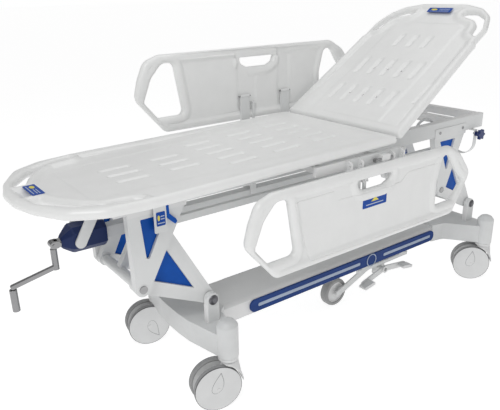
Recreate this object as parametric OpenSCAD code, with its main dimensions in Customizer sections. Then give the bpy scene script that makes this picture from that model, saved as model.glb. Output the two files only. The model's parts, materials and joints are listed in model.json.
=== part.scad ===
// Stretcher trolley: height-adjustable patient trolley on four swivel castors.
// +X points to the head end, +Y to the patient's right, +Z up; the floor is z = 0.

/* [Castors] */
// Diameter of a castor wheel
castor_d = 150; // [120:1:160]
// Distance of the swivel axes from the middle plane
castor_y = 225; // [215:1:240]
// Trail of the wheel behind its swivel axis
castor_trail = 45; // [35:1:50]
// Turn of the left foot castor about its stem
turn_foot_left = -14; // [-180:1:180]
// Turn of the right foot castor about its stem
turn_foot_right = -12; // [-180:1:180]
// Turn of the left head castor about its stem
turn_head_left = -46; // [-180:1:180]
// Turn of the right head castor about its stem
turn_head_right = -25; // [-180:1:180]

/* [Lift] */
// Outer face of the legs, lugs and frame rails, from the middle plane
outer_y = 150; // [146:1:156]
// Thickness of the legs, lugs and crank plates
plate_t = 24; // [16:1:24]
// Width of a crank or leg member
member_w = 42; // [34:1:46]
// Width of a sync bar
sync_w = 22; // [16:1:26]

/* [Deck] */
// Half width of the deck and backrest
deck_half = 280; // [270:1:281]
// Height of the deck's top face
deck_top = 750; // [745:1:755]
// Thickness of the deck and backrest panels
panel_t = 30; // [26:1:32]
// Raise of the backrest in the drawn position
backrest_angle = 34; // [0:1:60]

/* [Side rails] */
// Thickness of a side rail
rail_t = 32; // [30:1:36]
// Inner face of a side rail from the middle plane
rail_inner = 286; // [285:1:292]
// Length of the arms that carry a side rail
rail_arm = 161; // [150:1:165]

/* [Hidden] */
$fn = 40;
foot_x = -415;
head_x = 915;
axle_z = castor_d / 2;
hub_r = castor_d / 2 - 9;
disc_in = 13;
disc_out = 33;
axle_r = 6;
run = 0.05;
socket_r = 33;
socket_z = 165;
socket_top = 270;
stem_r = 12;

base_z0 = 172;
base_z1 = 238;
spine_half = 90;
seam_foot = -342;
seam_head = 742;
cover_t = 4;

lower_z = 318;
lower_foot = -412;
lower_head = 912;
upper_z = 429;
upper_foot = -636;
upper_head = 688;
sync_dx = 78;
sync_dz = 155;
leg_in = outer_y - plate_t;
crank_out = leg_in - 1;
crank_in = crank_out - plate_t;
sync_out = crank_in - 1;
sync_in = sync_out - 16;
pin_r = 10;
tube_r = 16;

rail_z0 = 654;
rail_z1 = 711;
frame_foot = -700;
frame_head = 923;
frame_t = 28;

hinge_x = 240;
hinge_z = 741;
knuckle_r = 8;
hinge_gap = 11;
panel_z0 = deck_top - panel_t;
backrest_len = 697;
deck_foot = -909;

spring_y = 70;
spring_lever = 60;
spring_anchor = [-130, 690];
spring_pin = [hinge_x, hinge_z - spring_lever];

gearbox_foot = -797;
screw_z = 566;
screw_r = 9;
casing_half = 18;
casing_foot = -676;
casing_head = 500;
yoke_x = -819;
crank_drop = 66;
crank_throw = 119;
grip_fall = 24;
grip_len = 71;

cable_x = 590;
cable_z = 683;
cable_r = 54;
hoop_x = 855;
hoop_y = -112;
hoop_z = 602;
hoop_r = 52;

pivot_y = 288;
pivot_z = 666;
arm_xs = [38, 232];
link_x = 78;
link_drop = 30;
latch_z = pivot_z + 22;
latch_tip = arm_xs[1] - 28;

pedal_x = 440;
pedal_z = 132;
fifth_x = 248;
fifth_r = 57;

// ---------- outlines and helpers ----------

// Points of the arc that rounds corner b between a and c; b holds its own radius
function corner(a, b, c, r) =
    let (
        u = ([a[0], a[1]] - [b[0], b[1]]) / norm([a[0] - b[0], a[1] - b[1]]),
        v = ([c[0], c[1]] - [b[0], b[1]]) / norm([c[0] - b[0], c[1] - b[1]]),
        half = acos(u * v) / 2,
        mid = [b[0], b[1]] + (u + v) / norm(u + v) * r / sin(half),
        p = [b[0], b[1]] + u * r / tan(half) - mid,
        q = [b[0], b[1]] + v * r / tan(half) - mid,
        start = atan2(p[1], p[0]),
        turn = atan2(q[1], q[0]) - start,
        sweep = turn > 180 ? turn - 360 : turn < -180 ? turn + 360 : turn,
        steps = max(2, ceil(abs(sweep) / 15))
    )
    [for (i = [0:steps]) mid + r * [cos(start + sweep * i / steps), sin(start + sweep * i / steps)]];

// A closed outline whose every corner is rounded; each point is [x, y, radius]
function rounded(pts) =
    let (n = len(pts))
    [for (i = [0:n - 1]) each corner(pts[(i + n - 1) % n], pts[i], pts[(i + 1) % n], pts[i][2])];

// Extrudes an XZ outline along Y
module slab(y0, y1) {
    translate([0, y1, 0]) rotate([90, 0, 0]) linear_extrude(y1 - y0) children();
}

module both_sides() {
    children();
    mirror([0, 1, 0]) children();
}

module rod_y(x, z, r, y0, y1) {
    translate([x, y1, z]) rotate([90, 0, 0]) cylinder(r = r, h = y1 - y0);
}

module rod_x(y, z, r, x0, x1) {
    translate([x0, y, z]) rotate([0, 90, 0]) cylinder(r = r, h = x1 - x0);
}

// A straight member from a to b with round ends
module bar(a, b, w) {
    d = b - a;
    along = atan2(d[1], d[0]);
    polygon(concat([for (t = [90:10:270]) a + w / 2 * [cos(along + t), sin(along + t)]],
                   [for (t = [-90:10:90]) b + w / 2 * [cos(along + t), sin(along + t)]]));
}

module box(x0, x1, y0, y1, z0, z1) {
    translate([x0, y0, z0]) cube([x1 - x0, y1 - y0, z1 - z0]);
}

// ---------- base ----------

module base_chassis() {
    color("dimgray") {
        box(foot_x + 22, head_x - 22, -25, 25, 182, 222);
        for (x = [foot_x, head_x])
            difference() {
                box(x - 22, x + 22, -castor_y + 20, castor_y - 20, 182, 222);
                for (s = [-1, 1])
                    translate([x, s * castor_y, 170]) cylinder(r = socket_r, h = 60);
            }
    }
}

module castor_sockets() {
    color("whitesmoke")
        for (x = [foot_x, head_x], s = [-1, 1])
            translate([x, s * castor_y, 0])
                difference() {
                    union() {
                        translate([0, 0, socket_z]) cylinder(r = socket_r, h = socket_top - socket_z);
                        translate([0, 0, socket_top]) cylinder(r1 = socket_r, r2 = 22, h = 13);
                        translate([0, 0, socket_top + 13]) cylinder(r1 = 22, r2 = 9, h = 6);
                    }
                    translate([0, 0, socket_z - 1]) cylinder(r = stem_r + run, h = 96);
                }
}

module base_spine_cover() {
    color("whitesmoke")
        difference() {
            rotate([90, 0, 90]) translate([0, 0, seam_foot]) linear_extrude(seam_head - seam_foot)
                polygon([[-spine_half, base_z0], [-spine_half, 226], [-72, base_z1],
                         [72, base_z1], [spine_half, 226], [spine_half, base_z0]]);
            rotate([90, 0, 90]) translate([0, 0, seam_foot - 1]) linear_extrude(seam_head - seam_foot + 2)
                polygon([[-spine_half + cover_t, base_z0 - 1], [-spine_half + cover_t, 224],
                         [-70, base_z1 - cover_t], [70, base_z1 - cover_t],
                         [spine_half - cover_t, 224], [spine_half - cover_t, base_z0 - 1]]);
        }
}

// Plan of one end cover; grow widens the opening for the hollow inside
module foot_plan(inset) {
    half = [[seam_foot - 1, -spine_half + inset], [-372 - inset, -148], [-382 - inset, -225],
            [-448 + inset, -225], [-466 + inset, -140]];
    polygon(concat(half, [for (i = [4:-1:0]) [half[i][0], -half[i][1]]]));
}

module head_plan(inset) {
    half = [[seam_head + 1, -spine_half + inset], [812, -112 + inset], [862 + inset, -160],
            [882 + inset, -225], [948 - inset, -225], [948 - inset, -140]];
    polygon(concat(half, [for (i = [5:-1:0]) [half[i][0], -half[i][1]]]));
}

module base_end_covers() {
    color("whitesmoke")
        difference() {
            union() {
                translate([0, 0, base_z0]) linear_extrude(base_z1 - base_z0) foot_plan(0);
                translate([0, 0, base_z0]) linear_extrude(base_z1 - base_z0) head_plan(0);
            }
            translate([0, 0, base_z0 - 1]) linear_extrude(base_z1 - base_z0 - cover_t + 1) foot_plan(cover_t);
            translate([0, 0, base_z0 - 1]) linear_extrude(base_z1 - base_z0 - cover_t + 1) head_plan(cover_t);
            for (x = [foot_x, head_x], s = [-1, 1])
                translate([x, s * castor_y, base_z0 - 1]) cylinder(r = socket_r, h = 80);
            for (x = [lower_foot, lower_head])
                both_sides() box(x - 23, x + 23, leg_in - 0.5, outer_y + 0.5, 200, 250);
        }
}

// Long face of the bumper or of an inlay, with rounded ends
module bumper_face(x0, x1, z0, z1, r) {
    polygon(rounded([[x0, z0, r], [x1, z0, r], [x1, z1, r], [x0, z1, r]]));
}

module bumper_strips() {
    color("midnightblue")
        both_sides()
            difference() {
                slab(-98, -spine_half) bumper_face(-234, 740, 178, 223, 20);
                for (span = [[-202, 293], [424, 718]])
                    slab(-99, -95) bumper_face(span[0], span[1], 194, 207, 6);
            }
}

module bumper_inlays() {
    color("lightsteelblue")
        both_sides() for (span = [[-202, 293], [424, 718]])
            slab(-97.5, -95) bumper_face(span[0], span[1], 194, 207, 6);
}

module lift_lugs() {
    color("whitesmoke")
        for (x = [lower_foot, lower_head])
            both_sides()
                difference() {
                    slab(-outer_y, -leg_in) union() {
                        translate([x, lower_z]) circle(r = 21);
                        translate([x - 22, 222]) square([44, lower_z - 222 - 12]);
                        translate([x - 21, lower_z - 14]) square([42, 14]);
                    }
                    rod_y(x, lower_z, pin_r, -outer_y - 1, -leg_in + 1);
                }
}

module lug_pins() {
    color("dimgray")
        for (x = [lower_foot, lower_head])
            both_sides() {
                rod_y(x, lower_z, pin_r, -outer_y, -crank_in + 2);
                translate([x, -outer_y, lower_z]) rotate([90, 0, 0]) cylinder(r1 = 16, r2 = 13, h = 4);
                translate([x, -outer_y - 4, lower_z]) rotate([90, 0, 0]) cylinder(r1 = 13, r2 = 6, h = 3);
            }
}

// ---------- castors ----------

module castor_fork(x, y, turn) {
    color("whitesmoke")
        translate([x, y, 0]) rotate([0, 0, turn]) {
            translate([0, 0, 150]) cylinder(r = stem_r, h = 108);
            difference() {
                union() {
                    translate([0, 0, 120]) cylinder(r = 30, h = 43);
                    slab(-34, 34) difference() {
                        translate([-castor_trail, axle_z]) circle(r = axle_z + 9);
                        translate([-castor_trail, axle_z]) circle(r = axle_z + 3.5);
                        translate([-200, 0]) square([200 - castor_trail, 250]);
                        translate([-200, -100]) square([400, 172]);
                    }
                }
                rod_y(-castor_trail, axle_z, axle_z + 3.5, -40, 40);
            }
            slab(-6, 6) union() {
                bar([-castor_trail, axle_z], [0, 130], 30);
                translate([-18, 125]) square([40, 30]);
            }
            rod_y(-castor_trail, axle_z, axle_r, -disc_out - 3, disc_out + 3);
        }
}

module castor_wheel(x, y, turn) {
    color("gainsboro")
        for (s = [-1, 1])
            translate([x, y, 0]) rotate([0, 0, turn])
                translate([-castor_trail, s * (disc_in + disc_out) / 2, axle_z]) rotate([90, 0, 0])
                    difference() {
                        union() {
                            cylinder(r = hub_r, h = disc_out - disc_in - 4, center = true);
                            cylinder(r = 40, h = disc_out - disc_in, center = true);
                        }
                        cylinder(r = axle_r + run, h = 40, center = true);
                    }
}

module castor_tyre(x, y, turn) {
    color("dimgray")
        for (s = [-1, 1])
            translate([x, y, 0]) rotate([0, 0, turn])
                translate([-castor_trail, s * (disc_in + disc_out) / 2, axle_z]) rotate([90, 0, 0])
                    difference() {
                        union() {
                            cylinder(r = axle_z, h = 14, center = true);
                            cylinder(r = axle_z - 2.5, h = disc_out - disc_in, center = true);
                        }
                        cylinder(r = hub_r, h = 40, center = true);
                    }
}

// ---------- fifth wheel ----------

module pedal_bracket() {
    color("gainsboro") {
        difference() {
            union() {
                box(pedal_x - 34, pedal_x + 34, -64, -58, 112, 182);
                box(pedal_x - 34, pedal_x + 34, -20, -14, 112, 182);
                box(pedal_x - 34, pedal_x + 34, -64, -14, 176, 182);
            }
            rod_y(pedal_x, pedal_z, 8 + run, -70, 0);
        }
        box(300, 590, -84, -70, 150, 164);
        box(320, 352, -84, -58, 164, 182);
        box(540, 572, -84, -58, 164, 182);
    }
}

// Long arm from the pedal axle to the fifth wheel
module fifth_wheel_arm() {
    color("lightgray") {
        slab(-30, -24) bar([fifth_x, fifth_r], [pedal_x, pedal_z], 26);
        rod_y(pedal_x, pedal_z, 8, -92, -14.5);
        rod_y(fifth_x, fifth_r, 8, -24, 19);
    }
}

module fifth_wheel() {
    color("gray")
        difference() {
            rod_y(fifth_x, fifth_r, fifth_r, -17, 17);
            rod_y(fifth_x, fifth_r, 44, -18, -14);
            rod_y(fifth_x, fifth_r, 44, 14, 18);
            rod_y(fifth_x, fifth_r, 8 + run, -20, 20);
        }
}

module rocker_pedal() {
    color("lightgray") {
        difference() {
            union() {
                slab(-92, -86) union() {
                    bar([325, 100], [pedal_x, pedal_z], 24);
                    bar([pedal_x, pedal_z], [562, 116], 24);
                }
                rod_y(pedal_x, pedal_z, 15, -100, -90);
            }
            rod_y(pedal_x, pedal_z, 8, -101, -60);
        }
        slab(-122, -90) bar([306, 98], [352, 106], 13);
        slab(-122, -90) bar([528, 123], [575, 115], 13);
    }
}

// ---------- lift cranks ----------

// Corners of a bell crank: lower pivot, upper pivot and sync pivot
function crank_points(lower, upper) =
    [[lower, lower_z], [upper, upper_z], [upper + sync_dx, upper_z + sync_dz]];

module crank_frame(lower, upper) {
    p = crank_points(lower, upper);
    color("whitesmoke")
        difference() {
            union() {
                both_sides() slab(-crank_out, -crank_in) for (i = [0:2])
                    bar(p[i], p[(i + 1) % 3], member_w);
                both_sides() rod_y(p[2][0], p[2][1], 8, -crank_in - 4, -sync_in + 2);
                for (i = [0, 1])
                    rod_y(p[i][0], p[i][1], tube_r, -crank_in - 4, crank_in + 4);
                slab(-12, 12) bar(p[1], p[1] + [40, 70], 24);
            }
            for (i = [0, 1])
                both_sides() rod_y(p[i][0], p[i][1], pin_r + run, -crank_out - 1, -crank_in + 4);
        }
}

// Blue panel that closes the crank's triangle, with a slit to the members
module crank_inset(lower, upper) {
    p = crank_points(lower, upper);
    centre = (p[0] + p[1] + p[2]) / 3;
    color("royalblue")
        both_sides()
            difference() {
                slab(-crank_out + 8, -crank_in - 6)
                    polygon([for (q = p) centre + (q - centre) * 0.98]);
                slab(-crank_out - 1, -crank_in + 1)
                    for (i = [0:2])
                        bar(p[i], p[(i + 1) % 3], member_w);
            }
}

module sync_bars() {
    a = crank_points(lower_foot, upper_foot)[2];
    b = crank_points(lower_head, upper_head)[2];
    color("gainsboro")
        both_sides()
            difference() {
                slab(-sync_out, -sync_in) union() {
                    bar(a, b, sync_w);
                    translate(a) circle(r = 16);
                    translate(b) circle(r = 16);
                }
                rod_y(a[0], a[1], 8 + run, -sync_out - 1, -sync_in + 1);
                rod_y(b[0], b[1], 8.4, -sync_out - 1, -sync_in + 1);
            }
}

// ---------- upper frame ----------

module frame_rails() {
    color("whitesmoke")
        both_sides()
            difference() {
                box(frame_foot, frame_head, -outer_y, -outer_y + frame_t, rail_z0, rail_z1);
                box(frame_foot + 3, frame_head - 3, -outer_y + 3, -outer_y + frame_t - 3,
                    rail_z0 + 3, rail_z1 - 3);
            }
}

module frame_crossmembers() {
    half = outer_y - frame_t;
    color("whitesmoke") {
        for (x = [-560, spring_anchor[0] - 28, 742])
            box(x - 15, x + 15, -half, half, x == 742 ? 681 : 660, rail_z1);
        box(frame_head - 33, frame_head - 3, -half, half, 681, rail_z1);
        for (y = [spring_y - 13, spring_y + 8])
            box(spring_anchor[0] - 13, spring_anchor[0] + 14, y, y + 5, 676, 704);
        rod_y(spring_anchor[0], spring_anchor[1], 4, spring_y - 13, spring_y + 13);
    }
}

// Outline of an inverted triangular leg that ends at the upper pivot
module leg_outline(x, left, right) {
    translate([x, upper_z]) circle(r = 22);
    polygon([[x - 21.5, upper_z - 5], [x + 21, upper_z - 7], [x + right, rail_z0],
             [x + left, rail_z0]]);
}

module leg_window(x, left, right) {
    polygon(rounded([[x + left + 37, rail_z0 - 20, 3], [x + right - 62, rail_z0 - 20, 3],
                     [x + 19, upper_z + 72, 6]]));
}

module upper_legs() {
    spans = [[upper_foot, -29, 149], [upper_head, -76, 117]];
    color("whitesmoke")
        for (s = spans)
            both_sides() {
                difference() {
                    slab(-outer_y, -leg_in) difference() {
                        leg_outline(s[0], s[1], s[2]);
                        leg_window(s[0], s[1], s[2]);
                    }
                    rod_y(s[0], upper_z, pin_r, -outer_y - 1, -leg_in + 1);
                }
                box(s[0] + s[1], s[0] + s[2], -outer_y - 3, -outer_y, rail_z0 - 8, rail_z0 + 32);
            }
}

module leg_insets() {
    spans = [[upper_foot, -29, 149], [upper_head, -76, 117]];
    color("royalblue")
        both_sides() for (s = spans)
            slab(-outer_y + 8, -leg_in - 6) leg_window(s[0], s[1], s[2]);
}

module frame_bolts() {
    color("silver")
        both_sides() {
            for (x = [upper_foot, upper_head]) {
                rod_y(x, upper_z, 12, -outer_y - 3, -outer_y);
                rod_y(x, upper_z, pin_r, -outer_y, -crank_in + 2);
            }
            for (x = [-640, -505, 640, 783])
                rod_y(x, 670, 6, -outer_y - 5, -outer_y - 3);
            rod_y(392, 628, 6, -outer_y - 3, -outer_y);
        }
}

module gearbox_housing() {
    color("midnightblue")
        difference() {
            union() {
                box(gearbox_foot + 12, casing_foot, -36, 36, 536, 605);
                translate([0, 0, 536]) linear_extrude(69)
                    polygon([[gearbox_foot + 12, -36], [gearbox_foot, -24], [gearbox_foot, 24],
                             [gearbox_foot + 12, 36]]);
            }
            rod_x(0, screw_z, screw_r + 0.4, -820, casing_foot + 1);
            both_sides() rod_y(-755, screw_z, 8, -37, -26);
        }
}

module gearbox_hangers() {
    half = outer_y - frame_t;
    color("whitesmoke") {
        both_sides() {
            slab(-44, -37) bar([-755, screw_z], [-690, 676], 30);
            rod_y(-755, screw_z, 8, -40, -27);
        }
        box(-712, -664, -half, half, 662, 690);
    }
}

module screw_casing() {
    color("lightgray") {
        difference() {
            box(casing_foot, casing_head, -casing_half, casing_half,
                screw_z - casing_half, screw_z + casing_half);
            box(casing_foot - 1, casing_head - 3, -casing_half + 3, casing_half - 3,
                screw_z - casing_half + 3, screw_z + casing_half - 3);
        }
        both_sides() {
            box(-170, -146, -casing_half - 4, -casing_half, screw_z - 10, 660);
            box(380, 404, -casing_half - 4, -casing_half, screw_z - 10, 636);
            box(341, 444, -outer_y, -outer_y + 4, 607, rail_z0);
        }
        box(380, 404, -outer_y + 4, outer_y - 4, 620, 636);
    }
}

module lift_screw() {
    color("silver") {
        rod_x(0, screw_z, screw_r, yoke_x + 21, -420);
        rod_x(0, screw_z, 13, -672, -664);
    }
}

module lift_nut() {
    color("goldenrod")
        difference() {
            box(-560, -522, -14, 14, screw_z - 14, screw_z + 14);
            rod_x(0, screw_z, screw_r + run, -561, -521);
        }
}

// ---------- folding crank handle ----------

module crank_fork() {
    color("silver") {
        rod_x(0, screw_z, 13, yoke_x + 11, yoke_x + 21);
        for (y = [-13, 7.5])
            slab(y, y + 5.5) bar([yoke_x, screw_z], [yoke_x + 8, screw_z], 20);
        rod_y(yoke_x, screw_z, 4, -15, 15);
    }
}

// Crank folded down: eye, sleeve, throw and the spindle that the grip turns on
module crank_handle() {
    elbow_z = screw_z - crank_drop;
    grip_x = yoke_x - crank_throw;
    color("silver") {
        difference() {
            union() {
                rod_y(yoke_x, screw_z, 10, -7, 7);
                translate([yoke_x, 0, elbow_z - 7]) cylinder(r = 6.5, h = crank_drop + 2);
            }
            rod_y(yoke_x, screw_z, 4 + run, -8, 8);
        }
        translate([yoke_x, 0, elbow_z - 8]) cylinder(r = 9, h = crank_drop - 5);
        slab(-5.5, 5.5) bar([yoke_x, elbow_z], [grip_x, elbow_z - grip_fall], 11);
        translate([grip_x, 0, elbow_z - grip_fall - grip_len])
            cylinder(r = 5, h = grip_len);
    }
}

module crank_grip() {
    top_z = screw_z - crank_drop - grip_fall - 7;
    color("silver")
        difference() {
            translate([yoke_x - crank_throw, 0, top_z - grip_len + 7])
                cylinder(r = 10, h = grip_len - 7);
            translate([yoke_x - crank_throw, 0, top_z - grip_len])
                cylinder(r = 5 + run, h = grip_len + 10);
        }
}

// ---------- accessories on the frame ----------

module release_cable() {
    color("gray") {
        translate([cable_x, -116, cable_z]) rotate([90, 0, 0]) rotate_extrude(angle = 180)
            translate([cable_r, 0]) circle(r = 5);
        for (x = [cable_x - cable_r, cable_x + cable_r])
            rod_y(x, cable_z, 3, -outer_y + frame_t, -112);
    }
}

module bottle_hoop() {
    color("gainsboro")
        difference() {
            translate([hoop_x - 10, hoop_y, hoop_z]) rotate([90, 0, 90]) linear_extrude(20) {
                difference() {
                    circle(r = hoop_r + 3);
                    circle(r = hoop_r);
                    translate([-80, 0]) square([160, 80]);
                }
                for (y = [-hoop_r - 3, hoop_r])
                    translate([y, 0]) square([3, rail_z0 - hoop_z]);
                translate([-hoop_r - 3, rail_z0 - hoop_z - 4]) square([2 * hoop_r + 6, 4]);
            }
            rod_y(hoop_x, 638, 5 + run, -170, -150);
        }
}

module hoop_knob() {
    color("midnightblue") {
        rod_y(hoop_x, 638, 5, -186, -158);
        rod_y(hoop_x, 638, 10, -172, -168);
        translate([hoop_x, -184, 638]) rotate([90, 0, 0]) linear_extrude(12)
            polygon([for (a = [0:5:355]) (18.5 + 3.5 * cos(6 * a)) * [cos(a), sin(a)]]);
    }
}

// ---------- deck and backrest ----------

function mirrored(half) =
    concat(half, [for (i = [len(half) - 1:-1:0]) [half[i][0], -half[i][1], half[i][2]]]);

module hinge_knuckles(first, count) {
    for (i = [0:count - 1])
        rod_y(hinge_x, hinge_z, knuckle_r, -180 + (first + 2 * i) * 40 + 0.5,
              -180 + (first + 2 * i + 1) * 40 - 0.5);
}

module deck_panel() {
    outline = mirrored([[hinge_x - hinge_gap, deck_half, 8], [-650, 277, 90], [-760, 262, 90],
                        [-842, 214, 70], [-893, 120, 90], [deck_foot - 5, 40, 90]]);
    color("white") {
        translate([0, 0, panel_z0]) linear_extrude(panel_t) difference() {
            polygon(rounded(outline));
            for (s = [-1, 1])
                polygon(rounded([[-880, s * 34, 9], [-866, s * 112, 60], [-800, s * 196, 70],
                                 [-700, s * 240, 30], [-650, s * 248, 5], [-672, s * 226, 16],
                                 [-748, s * 214, 40], [-792, s * 172, 50], [-830, s * 114, 50],
                                 [-852, s * 40, 9]]));
        }
        difference() {
            union() {
                hinge_knuckles(0, 5);
                for (i = [0:4])
                    box(hinge_x - hinge_gap - 1, hinge_x, -179 + 80 * i, -141 + 80 * i,
                        hinge_z - 6, hinge_z + 2);
            }
            rod_y(hinge_x, hinge_z, 4, -190, 190);
        }
        rod_y(hinge_x, hinge_z, 4, -178, 178);
        for (x = [-600, -200, 200])
            both_sides() box(x - 20, x + 20, -outer_y + 2, -outer_y + frame_t - 2, rail_z1, panel_z0);
    }
}

// Tilts a piece drawn flat to the backrest's rest angle
module at_backrest() {
    translate([hinge_x, 0, hinge_z]) rotate([0, -backrest_angle, 0])
        translate([-hinge_x, 0, -hinge_z]) children();
}

module backrest_panel() {
    tip = hinge_x + backrest_len;
    outline = mirrored([[hinge_x + hinge_gap, deck_half, 8], [tip - 257, 263, 20],
                        [tip - 223, 264, 6], [tip - 215, 256, 6], [tip - 137, 257, 60],
                        [tip - 65, 226, 60], [tip - 25, 176, 50], [tip - 3, 100, 60]]);
    color("white")
        at_backrest() {
            difference() {
                translate([0, 0, panel_z0]) linear_extrude(panel_t) difference() {
                    polygon(rounded(outline));
                    for (s = [-1, 1])
                        polygon(rounded([[tip - 52, s * 104, 8], [tip - 49, s * 160, 40],
                                         [tip - 81, s * 214, 50], [tip - 137, s * 238, 30],
                                         [tip - 185, s * 242, 5], [tip - 169, s * 214, 16],
                                         [tip - 122, s * 206, 30], [tip - 95, s * 184, 40],
                                         [tip - 75, s * 124, 8]]));
                }
                box(cable_x - cable_r - 12, cable_x + cable_r + 12, -128, -104,
                    panel_z0 - 1, deck_top - 5);
            }
            difference() {
                union() {
                    hinge_knuckles(1, 4);
                    for (i = [0:3])
                        box(hinge_x, hinge_x + hinge_gap + 1, -139 + 80 * i, -101 + 80 * i,
                            hinge_z - 6, hinge_z + 2);
                }
                rod_y(hinge_x, hinge_z, 4 + run, -190, 190);
            }
        }
}

module backrest_lever() {
    r = spring_lever;
    pin = [hinge_x - r * sin(backrest_angle), hinge_z - r * cos(backrest_angle)];
    color("silver")
        at_backrest() {
            for (y = [spring_y - 13, spring_y + 8])
                slab(y, y + 5) union() {
                    bar(pin, [hinge_x + 36, panel_z0 - 9], 18);
                    polygon([[hinge_x + 20, panel_z0], [hinge_x + 110, panel_z0],
                             [hinge_x + 110, panel_z0 - 8], [hinge_x + 36, panel_z0 - 18]]);
                }
            for (y = [spring_y - 13, spring_y + 5.5])
                rod_y(pin[0], pin[1], 4, y, y + 7.5);
        }
}

// Length direction of the gas spring, from its anchor to the lever pin
module along_spring() {
    d = spring_pin - spring_anchor;
    translate([spring_anchor[0], spring_y, spring_anchor[1]])
        rotate([0, -atan2(d[1], d[0]), 0]) children();
}

module gas_cylinder() {
    color("dimgray")
        along_spring()
            difference() {
                union() {
                    translate([0, 5, 0]) rotate([90, 0, 0]) cylinder(r = 9, h = 10);
                    translate([6, 0, 0]) rotate([0, 90, 0]) cylinder(r = 7, h = 20);
                    translate([22, 0, 0]) rotate([0, 90, 0]) cylinder(r = 10, h = 190);
                }
                translate([0, 8, 0]) rotate([90, 0, 0]) cylinder(r = 4 + run, h = 16);
                translate([30, 0, 0]) rotate([0, 90, 0]) cylinder(r = 4 + run, h = 190);
            }
}

module gas_rod() {
    length = norm(spring_pin - spring_anchor);
    color("silver")
        along_spring()
            difference() {
                union() {
                    translate([90, 0, 0]) rotate([0, 90, 0]) cylinder(r = 4, h = length - 90 - 6);
                    translate([length, 4.5, 0]) rotate([90, 0, 0]) cylinder(r = 9, h = 9);
                }
                translate([length, 8, 0]) rotate([90, 0, 0]) cylinder(r = 5, h = 16);
            }
}

// ---------- side rails ----------

// Places a part drawn for the lowered left rail; side is -1 left or 1 right, lift is its raise
module on_side(side, lift) {
    if (side < 0) translate([0, 0, lift]) children();
    else mirror([0, 1, 0]) translate([0, 0, lift]) children();
}

module rail_mounts() {
    color("lightgray")
        both_sides() {
            box(-116, 262, -276, -262, 676, 706);
            for (x = [-90, 140])
                box(x - 14, x + 14, -262, -outer_y, 682, 700);
            for (x = arm_xs) {
                slab_x(x - 27, x - 21) rail_ear();
                slab_x(x + 21, x + 27) rail_ear();
                rod_x(-pivot_y, pivot_z, 4, x - 27, x + 27);
            }
            for (x = [link_x - 12.5, link_x + 6.5])
                slab_x(x, x + 6) polygon([[-pivot_y - 7, 628], [-pivot_y + 7, 628], [-262, 676],
                                          [-276, 676]]);
            rod_x(-pivot_y, pivot_z - link_drop, 4, link_x - 12, link_x + 12);
            difference() {
                box(150, 186, -296, -276, 682.5, 700);
                rod_x(-pivot_y, latch_z, 4 + run, 149, 187);
            }
        }
}

// Ear of an arm's clevis, with the hole that guides the latch
module rail_ear() {
    difference() {
        polygon([[-pivot_y - 7, 658], [-pivot_y + 8, 656], [-262, 676], [-262, 706], [-280, 706],
                 [-pivot_y - 7, 697]]);
        translate([-pivot_y, latch_z]) circle(r = 4 + run);
    }
}

// Extrudes a YZ outline along X
module slab_x(x0, x1) {
    translate([x0, 0, 0]) rotate([90, 0, 90]) linear_extrude(x1 - x0) children();
}

// One arm drawn hanging from its pivot
module rail_arm_at(x, width, z) {
    difference() {
        union() {
            box(x - width / 2, x + width / 2, -pivot_y - 4, -pivot_y + 4, z - rail_arm, z);
            rod_x(-pivot_y, z, 7, x - width / 2, x + width / 2);
            rod_x(-pivot_y, z - rail_arm, 6, x - width / 2, x + width / 2);
        }
        rod_x(-pivot_y, z, 4 + run, x - 30, x + 30);
        rod_x(-pivot_y, z - rail_arm, 3 + run, x - 30, x + 30);
        rod_x(-pivot_y, 2 * z - latch_z, 4.3, x - width / 2 - 1, x);
    }
}

module rail_arms(side, raised) {
    color("gainsboro")
        on_side(side, 0)
            translate([0, 0, raised ? 2 * pivot_z : 0]) mirror([0, 0, raised ? 1 : 0])
                for (x = arm_xs)
                    rail_arm_at(x, 40, pivot_z);
}

module rail_link(side, raised) {
    z = pivot_z - link_drop;
    color("gainsboro")
        on_side(side, 0)
            translate([0, 0, raised ? 2 * z : 0]) mirror([0, 0, raised ? 1 : 0])
                difference() {
                    union() {
                        box(link_x - 6, link_x + 6, -pivot_y - 4, -pivot_y + 4, z - rail_arm, z);
                        rod_x(-pivot_y, z, 7, link_x - 6, link_x + 6);
                        rod_x(-pivot_y, z - rail_arm, 6, link_x - 6, link_x + 6);
                    }
                    rod_x(-pivot_y, z, 4 + run, link_x - 30, link_x + 30);
                    rod_x(-pivot_y, z - rail_arm, 3.3, link_x - 30, link_x + 30);
                }
}

module rail_outline() {
    polygon(rounded([[-296, 416, 30], [524, 416, 30], [610, 548, 40], [604, 575, 40],
                     [545, 644, 50], [480, 680, 60], [-305, 680, 50], [-360, 662, 45],
                     [-388, 600, 90], [-404, 541, 40]]));
}

module side_rail(side, raised) {
    hinge = pivot_z - rail_arm;
    inner = rail_inner;
    color("white")
        on_side(side, raised ? 2 * rail_arm : 0) {
            difference() {
                slab(-inner - rail_t, -inner) difference() {
                    rail_outline();
                    polygon(rounded([[-370, 528, 14], [-322, 470, 16], [-222, 470, 18],
                                     [-252, 650, 22], [-296, 650, 34], [-338, 604, 60]]));
                    polygon(rounded([[578, 532, 14], [526, 470, 16], [424, 468, 18],
                                     [420, 560, 40], [444, 650, 24], [482, 646, 34],
                                     [520, 590, 60]]));
                    polygon(rounded([[24, 644, 5], [183, 644, 5], [176, 622, 16],
                                     [150, 609, 20], [58, 609, 20], [31, 622, 16]]));
                }
                for (x = arm_xs) {
                    box(x - 24, x + 24, -inner - 10, -inner + 1, 410, 700);
                    box(x - 29, x + 29, -inner - 10, -inner + 1, 648, 700);
                }
                box(link_x - 10, link_x + 10, -inner - 10, -inner + 1, 410, 700);
                box(link_x - 16, link_x + 16, -inner - 10, -inner + 1, 620, 700);
            }
            for (x = arm_xs)
                rod_x(-pivot_y, hinge, 3, x - 27, x + 27);
            rod_x(-pivot_y, hinge - link_drop, 3, link_x - 13, link_x + 13);
        }
}

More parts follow.
